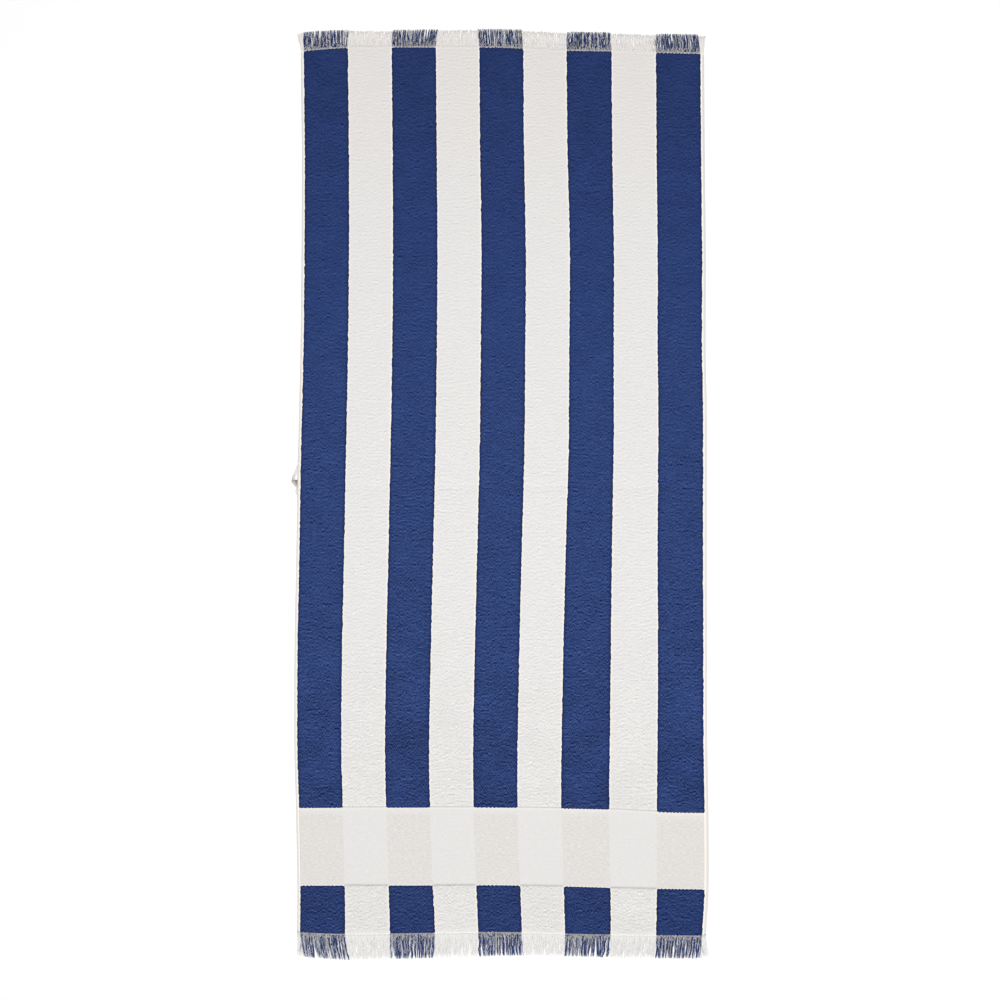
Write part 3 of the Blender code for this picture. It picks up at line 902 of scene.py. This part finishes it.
def make_border(material):
    """The border's flat weave: fine wefts over cream columns and white ones."""
    stripe_stops = np.concatenate([
        stops(number * STRIPE, (number + 1) * STRIPE, 0.005, (0.0002, 0.0016))
        for number in range(STRIPES)
    ]) / STRIPE
    low, high = BORDER_BOTTOM - 0.0012, BORDER_TOP + WHITE_UP + 0.0012
    levels = stops(low, high, WEFT_STEP, BORDER_EDGE_STEPS)
    stripe, level = np.meshgrid(stripe_stops, levels)
    y = settled(stripe, level)
    x = across(stripe, y)
    over_under = np.where(np.arange(len(levels)) % 2, 0.6, -0.6)[:, None]
    z = FLAT_WEAVE + 0.00025 + WEAVE_RELIEF * (weft_slubs(x, y) + over_under)
    below_top, above_bottom = BORDER_TOP - level, level - BORDER_BOTTOM
    navy = is_navy(stripe).astype(float)
    # Painted highlights: bright ivory lines along the border's ends over the navy columns,
    # and a fainter one under its top.
    seam = bell(np.minimum(below_top, above_bottom) - 0.0006, LINE)
    # Painted shadow lines on the white columns, where the white pile's ends meet the border.
    groove = 0.75 * bell(below_top + WHITE_UP - 0.0006, LINE)
    groove = np.maximum(groove, 0.55 * bell(above_bottom - WHITE_UP - 0.0006, LINE))
    bright = bell(below_top - 0.0034 + 0.7 * WHITE_UP * (1 - navy), LINE)
    values = {
        "cream": navy * (1 - 0.75 * (1 - ramp(below_top, 0.009, 0.016))),
        "ivory": np.maximum(seam * navy, 0.35 * bright),
        "groove": groove * (1 - navy),
    }
    points, faces, flat, values = skirted(
        np.stack([x, y, z], -1), np.stack([stripe * STRIPE, level], -1),
        np.full_like(x, FLAT_WEAVE - 0.0003), values,
    )
    u, v = (flat[:, 1] - low) / (high - low), flat[:, 0] / (STRIPES * STRIPE)
    return add_piece(
        "border_weave", "towel_body", material, points, faces, values,
        folded_uv(faces, u, v, 4),
    )


# ---- the fringes

def tubes(paths, radii, across_axis):
    """Four-sided tubes along the paths, capped. Returns points and faces, caps last."""
    strands, count = paths.shape[:2]
    corners = math.pi / 4 + math.pi / 2 * np.arange(4)
    around = np.outer(np.cos(corners), across_axis) + np.outer(np.sin(corners), (0, 0, 1))
    points = paths[:, :, None, :] + radii[:, :, None, None] * around
    index = np.arange(strands * count * 4).reshape(strands, count, 4)
    ahead = np.roll(index, -1, axis=2)
    sides = np.stack([index[:, :-1], ahead[:, :-1], ahead[:, 1:], index[:, 1:]], -1)
    caps = np.concatenate([index[:, 0], index[:, -1, ::-1]])
    faces = np.concatenate([sides.reshape(-1, 4), caps])
    return points.reshape(-1, 3), faces


def recalculated(mesh):
    """Turns every face of the mesh outwards."""
    bm = bmesh.new()
    bm.from_mesh(mesh)
    bmesh.ops.recalc_face_normals(bm, faces=bm.faces)
    bm.to_mesh(mesh)
    bm.free()


def bundled(roots, sizes):
    """The bundle of its stripe that each root falls in, by these sizes: its number, its
    middle and size in stripes, and the root's share of the way across it."""
    stripe = np.floor(roots).astype(int)
    edges = np.cumsum(sizes, axis=1) / sizes.sum(axis=1, keepdims=True)
    edges = np.pad(edges, ((0, 0), (1, 0)))
    mine = edges[stripe[:, 0] % len(sizes)]
    share = roots - stripe
    within = (share >= mine).sum(axis=1, keepdims=True) - 1
    within = np.clip(within, 0, sizes.shape[1] - 1)
    start = np.take_along_axis(mine, within, 1)
    stop = np.take_along_axis(mine, within + 1, 1)
    number = within + sizes.shape[1] * (stripe + 2)
    return number, stripe + (start + stop) / 2, stop - start, (share - start) / (stop - start)


def yarn_paths(end, seed):
    """Where each yarn of a fringe lies. Returns their paths, radii, kinds: 0 navy, 1 cream
    or 2 white, and how closely they are meshed at each point."""
    rng = np.random.default_rng(seed)
    gather = SimpleNamespace(**{key: pair[end == "bottom"] for key, pair in GATHERS.items()})
    outward, level = ENDS[end]

    # A row for each yarn: its root, with more of them in the selvedges, bundle and kind
    roots = np.arange(LEFT_END + 0.008, RIGHT_END - 0.008, YARN_PITCH / STRIPE)
    closer = roots[(roots < 0) | (roots > STRIPES)] + 0.5 * YARN_PITCH / STRIPE
    roots = np.sort(np.concatenate([roots, closer]))[:, None]
    each = roots.shape
    roots = roots + rng.uniform(-0.25, 0.25, each) * YARN_PITCH / STRIPE
    selvedge = (roots < 0) | (roots > STRIPES)
    sizes = rng.uniform(0.7, 1.3, (STRIPES + 2, gather.bundles))
    number, middle, size, share = bundled(roots, sizes)
    cream_here = np.where(np.abs(share - 0.5) > 0.34, gather.cream, 0.22 * gather.cream)
    kind = np.where(rng.uniform(0, 1, each) < cream_here, 1, 0)
    kind = np.where(is_navy(roots), kind, 2)
    cream, white = kind == 1, kind == 2
    loose = rng.uniform(0, 1, each) < 0.18

    # Where in its bundle each yarn goes, and how far each bundle sways
    off_middle = (share - 0.5) * size
    off_edge = np.where(share < 0.5, share, share - 1) * size
    to_edge = np.where(share < 0.5, -size / 2, size / 2) + 0.5 * off_edge
    kept = np.where(loose | white, 1.0, gather.kept) * off_middle
    beside = np.where(cream & ~loose, to_edge, kept)
    narrowed = np.choose(kind, (1.0, 0.0, 0.25)) * ~loose * gather.narrowing * off_middle
    sway = rng.normal(0, 1, (5, gather.bundles * (STRIPES + 4)))
    sway[0] = 0.75 * sway[0] + 0.65 * np.roll(sway[0], 1)
    sway = sway[:, number]
    y_root = settled(roots, level)
    at_root = across(roots, y_root)
    target = across(middle + beside, y_root) + rng.normal(0, 0.00016, each)
    target = np.where(selvedge, at_root, target)

    # Lean, length and layer
    lean = eased(COMBS, roots, end + "_lean")
    lean = lean + gather.lean * np.where(white, 0.4, 1.0) * sway[0]
    lean = lean + rng.normal(0, 1, each) * np.where(loose, 0.0017, 0.0004)
    reach = eased(COMBS, roots, end + "_length")
    reach = reach + np.where(white, gather.more_white, gather.more)
    reach = reach - 0.0005 * np.abs(sway[1])
    reach = reach - rng.uniform(0, np.where(white, gather.ragged_white, 0.001))
    reach = reach - np.where(cream, rng.uniform(0.0002, gather.short, each), 0)
    layer = np.choose(kind, [rng.uniform(*depths, each) for depths in LAYERS])
    layer = np.where(loose, 1.2, layer)
    for stripe, *own in STRAYS[end]:
        at = np.argmin(np.abs(roots - stripe))
        lean[at], reach[at], kind[at] = own
        target[at], layer[at], narrowed[at] = at_root[at], 1.3, 0.0

    # The paths, with a column for each point
    cream, white = kind == 1, kind == 2
    t = np.linspace(0, 1, YARN_POINTS)[None, :]
    y = y_root + outward * (-YARN_ROOT + (reach + YARN_ROOT) * t)
    x = at_root + (target - at_root) * ramp(t, gather.start, gather.stop)
    x = x + lean * t ** 1.5 - narrowed * STRIPE * ramp(t, 0.6, 1.0)
    turns, phase = rng.uniform(0.9, 2.0, each), rng.uniform(0, 1, each)
    curl = np.sin(TURN * (turns * t + phase)) - np.sin(TURN * phase)
    x = x + np.where(white, 0.0002, 0.00035) * curl * ramp(t, 0.0, 0.5)
    snake = np.sin(TURN * (t * (1.3 + 0.35 * sway[2]) + sway[3])) * (1 + 0.4 * sway[4])
    x = x + gather.snake * snake * ramp(t, 0.15, 0.6)
    root_z = np.where(selvedge, 0.0011, np.choose(kind, (0.00065, 0.0016, 0.0017)))
    root_z = root_z + 0.00012 * np.sin(7.0 * np.arange(len(roots)))[:, None]
    lying = YARN + LAYERING * layer
    z = root_z + (lying - root_z) * ramp(t, 0.03, np.where(white, 0.45, 0.25))
    over = 1 - ramp(t, 0.4 * gather.over, 1.3 * gather.over)
    z = z + np.where(cream, 0.001, 0) * over * ramp(t, 0.0, 0.12)
    z = z + 0.00024 * np.sin(TURN * (1.3 * turns * t + 3 * phase)) * ramp(t, 0.1, 0.3)
    thick = np.where(selvedge, 1.35 * YARN, np.where(white, 1.25 * YARN, YARN))
    radii = thick * (1 - np.where(white, 0.85, 0.6) * ramp(t, 0.85, 1.0))
    z = np.maximum(z, YARN * 0.8)
    z = z + (0.8 * radii - z) * ramp(t, np.where(white, 0.25, 0.65), 1.0)
    meshed = 1.4 - 1.4 * ramp(t, -0.05, 1.5 * gather.over) * np.ones(each)
    return np.stack([x, y, z], -1), radii, kind.ravel(), meshed


def header_paths(end, stripes, picks, height, wave):
    """The wefts that hold the fringe's roots in these stripes, over and under the yarns
    by the wave's height, and lower in the selvedges."""
    outward, level = ENDS[end]
    paths = []
    for number in stripes:
        navy = is_navy(number + 0.5)
        covered = WHITE_OVERHANG * (not navy) if end == "top" else OVERHANG * navy
        low = 0.001 if number in (-1, STRIPES) else 0
        start, stop = max(number, LEFT_END + 0.01), min(number + 1, RIGHT_END - 0.01)
        stripe = np.linspace(start, stop, 110)
        for pick, out in enumerate(picks):
            y = settled(stripe, level) + outward * (out + covered)
            x = across(stripe, y)
            turn = TURN * x / HEADER_WAVE + math.pi * pick
            z = height - low + wave * (np.sin(turn) - 1)
            paths.append(np.stack([x, y + 0.00012 * np.sin(turn * 0.31), z], -1))
    return np.array(paths)


def make_fringe(end, seed, picks, white_picks, materials, header_materials):
    """The yarns of one fringe as three pieces, one for each colour of yarn, and with them
    the wefts that hold their roots: thin cream ones, and a close band over the white."""
    paths, radii, kind, meshed = yarn_paths(end, seed)
    white_stripes = (-1, *range(1, STRIPES, 2), STRIPES)
    white_height = 0.0021 if end == "top" else 0.0018
    headers = {     # their stripes, places out, height, wave and radius
        "cream": (range(0, STRIPES, 2), picks, 0.0016, 0.00045, 0.0006),
        "white": (white_stripes, white_picks, white_height, 0.0001, 0.00085),
    }
    made = []
    for number, colour in enumerate(("navy", "cream", "white")):
        mine = kind == number
        points, faces = tubes(paths[mine], radii[mine], (1, 0, 0))
        own_points, own_faces = len(points), len(faces)
        if colour in headers:
            *how, radius = headers[colour]
            header = header_paths(end, *how)
            more, more_faces = tubes(header, np.full(header.shape[:2], radius), (0, 1, 0))
            faces = np.concatenate([faces, more_faces + own_points])
            points = np.concatenate([points, more])
        mesh_here = np.pad(np.repeat(meshed[mine].ravel(), 4), (0, len(points) - own_points))
        u = (points[:, 1] - points[:, 1].min()) / np.ptp(points[:, 1])
        v = (points[:, 0] - points[:, 0].min()) / np.ptp(points[:, 0])
        piece = add_piece(
            f"yarns_{end}_{colour}", f"fringe_{end}", materials[number],
            points, faces, {"meshed": mesh_here}, folded_uv(faces, u, v, 4),
        )
        recalculated(piece.data)
        place = np.arange(len(faces))
        caps = (place >= own_faces - 2 * np.sum(mine)) & (place < own_faces)
        piece.data.polygons.foreach_set("use_smooth", ~caps)
        if colour in headers:
            piece.data.materials.append(header_materials[colour])
            in_header = (place >= own_faces).astype(np.int32)
            piece.data.polygons.foreach_set("material_index", in_header)
        made.append(piece)
    return made


# ---- the hanging loop

def make_tape(name, rungs, samples, material):
    """A length of the hanging tape: a woven ribbon with rolled edges through the rungs."""
    samples = np.linspace(0, len(rungs) - 1, samples)
    fields = rungs[0]._fields
    steps = table(("at", *fields), *((at, *rung) for at, rung in enumerate(rungs)))
    out, y, z, other_out, other_y, other_z, shade = (
        eased(steps, samples, field) for field in fields
    )
    edge = np.stack([across(OUTER_EDGE, y) - out, y, z], -1)
    other = np.stack([across(OUTER_EDGE, other_y) - other_out, other_y, other_z], -1)
    middle, wide = (edge + other) / 2, (other - edge) / 2
    thick = np.cross(wide, np.gradient(middle, axis=0))
    thick *= TAPE_THICKNESS / 2 / np.linalg.norm(thick, axis=1)[:, None]
    section = [(-1.0, 0.0), (-0.93, 0.9), (-0.5, 0.8), (0.0, 1.0), (0.5, 0.8), (0.93, 0.9),
               (1.0, 0.0)]
    section += [(beside, -up) for beside, up in section[-2:0:-1]]
    rings = np.array([middle + wide * a + thick * b for a, b in section]).transpose(1, 0, 2)
    rings[:, :, 2] = np.maximum(rings[:, :, 2], 0.0)
    count, round_it = rings.shape[:2]
    index = np.arange(count * round_it).reshape(count, round_it)
    after = np.roll(index, -1, axis=1)
    sides = np.stack([index[:-1], after[:-1], after[1:], index[1:]], -1).reshape(-1, 4)
    faces = [*sides, index[0][::-1], index[-1]]
    gaps = np.linalg.norm(np.diff(middle, axis=0), axis=1)
    along = np.concatenate([[0], np.cumsum(gaps)])
    values = {
        "along": np.repeat(along, round_it),
        "shade": np.repeat(np.clip(shade, 0, 1), round_it),
    }
    u = np.tile(np.arange(round_it) / round_it, count)
    v = np.repeat(along / along[-1], round_it)
    piece = add_piece(
        name, "hanging_loop", material, rings.reshape(-1, 3), faces, values,
        folded_uv(faces, u, v, 1),
    )
    recalculated(piece.data)
    return piece


# ---- the studio

def make_studio():
    """Floor, camera over the towel and soft light from below the picture's lower edge."""
    scene = bpy.context.scene
    mesh = bpy.data.meshes.new("floor")
    far = 30.0
    corners = [(-far, -far, 0), (far, -far, 0), (far, far, 0), (-far, far, 0)]
    mesh.from_pydata(corners, [], [(0, 1, 2, 3)])
    paint, *_ = new_material(
        "floor_paint", Base_Color=(0.97, 0.97, 0.97, 1.0), Roughness=1.0,
        Specular_IOR_Level=0.0,
    )
    mesh.materials.append(paint)
    placed("floor", mesh)

    data = bpy.data.cameras.new("camera")
    data.lens, data.sensor_width = LENS, SENSOR
    scene.camera = placed("camera", data)
    scene.camera.location = (*AIM, PICTURE * LENS / SENSOR)

    sun = bpy.data.lights.new("key", "SUN")
    sun.energy, sun.angle = KEY_STRENGTH, math.radians(22)
    key = placed("key", sun)
    key.rotation_mode = "QUATERNION"
    key.rotation_quaternion = Vector(KEY_FROM).to_track_quat("Z", "Y")

    panel = bpy.data.lights.new("overhead", "AREA")
    panel.shape, panel.size, panel.energy = "DISK", 1.6, OVERHEAD_STRENGTH
    placed("overhead", panel).location = (0.12, -0.1, 2.6)

    scene.world = bpy.data.worlds.new("studio")
    scene.world.use_nodes = True
    backdrop = scene.world.node_tree.nodes["Background"]
    backdrop.inputs["Color"].default_value = (1.0, 1.0, 1.0, 1.0)
    backdrop.inputs["Strength"].default_value = BACKDROP_STRENGTH
    scene.view_settings.view_transform = "Standard"


def main():
    make_studio()
    navy = terry("terry_navy", NAVY, NAVY_EDGE_SHADE, 0.35, NAVY_GRAIN, 0.08, 0.04)
    white = terry("terry_white", WHITE, IVORY_HIGHLIGHT[:3], 0.05, WHITE_GRAIN, 0.005, 0.05)
    weave = plain_weave("flat_weave")
    base = make_base(weave, navy, white)
    pieces = [make_border(weave)]
    for number in range(STRIPES):
        colour, material = (("navy", navy), ("white", white))[number % 2]
        name = f"terry_{colour}_{number // 2 + 1}"
        pieces.append(make_stripe(number, name, material))
    yarns = (
        yarn_material("yarn_navy", YARN_NAVY, 0.35, YARN_CREAM, 0.68, 0.25),
        yarn_material("yarn_cream", YARN_CREAM, 0.26, YARN_NAVY, 0.62, 0.05),
        yarn_material("yarn_white", YARN_WHITE, 0.04),
    )
    headers = {
        "cream": yarn_material("header_cream", HEADER_CREAM, 0.1),
        "white": yarn_material("header_white", HEADER_WHITE, 0.02),
    }
    pieces += make_fringe("top", 21, (0.0008, 0.0022), (0.0002, 0.0015), yarns, headers)
    pieces += make_fringe("bottom", 22, (0.0006, 0.0018), (0.0001, 0.0011), yarns, headers)
    tape = tape_material("woven_tape")
    pieces.append(make_tape("hanging_tape", RUNGS, 120, tape))
    pieces.append(make_tape("hanging_tape_end", TAIL, 24, tape))


main()
